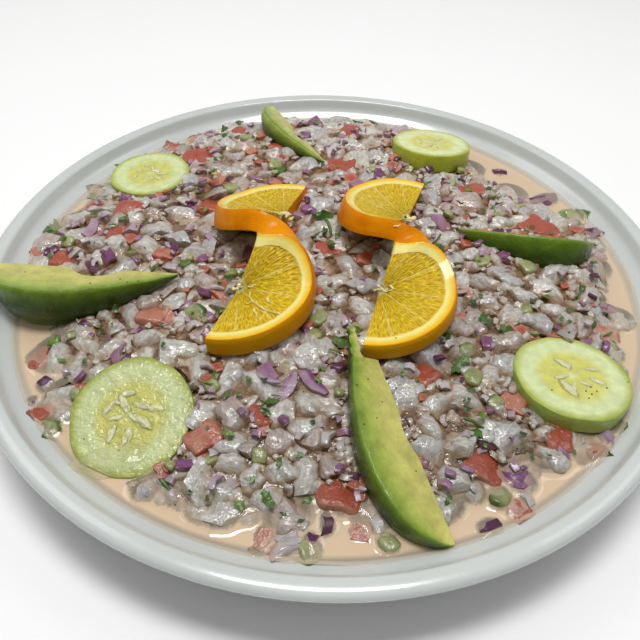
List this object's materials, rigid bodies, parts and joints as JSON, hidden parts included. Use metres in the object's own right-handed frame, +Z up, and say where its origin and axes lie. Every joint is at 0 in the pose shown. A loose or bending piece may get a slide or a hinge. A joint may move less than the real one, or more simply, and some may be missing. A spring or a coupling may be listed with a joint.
{
  "type": "plated shrimp ceviche",
  "caption": "Round rimmed plate filled with diced shrimp ceviche in broth, topped with orange twists, avocado wedges and cucumber slices.",
  "frame": {"origin": "centre of the plate's foot ring, on the table", "axes": "+Z up; -Y towards the diner, +X to the diner's right"},
  "size_m": [0.3454, 0.346, 0.0648],
  "materials": {
    "ceramic": "glazed off-white stoneware",
    "broth": "wet, clear peach citrus broth",
    "seafood_salad": "wet diced shrimp, onion, tomato, cucumber and herbs",
    "cucumber": "wet cut cucumber",
    "avocado": "cut avocado flesh, satin",
    "orange": "orange flesh and peel, moist"
  },
  "bodies": {
    "root": {"plate": "ceramic", "broth": "broth", "ceviche_heap": "seafood_salad", "cucumber_slice_front_left": "cucumber", "cucumber_slice_front_right": "cucumber", "cucumber_slice_back_left": "cucumber", "cucumber_slice_back_right": "cucumber", "avocado_slice_left": "avocado", "avocado_slice_back": "avocado", "avocado_slice_right": "avocado", "avocado_slice_front": "avocado", "orange_twist_left": "orange", "orange_twist_right": "orange"}
  },
  "joints": []
}
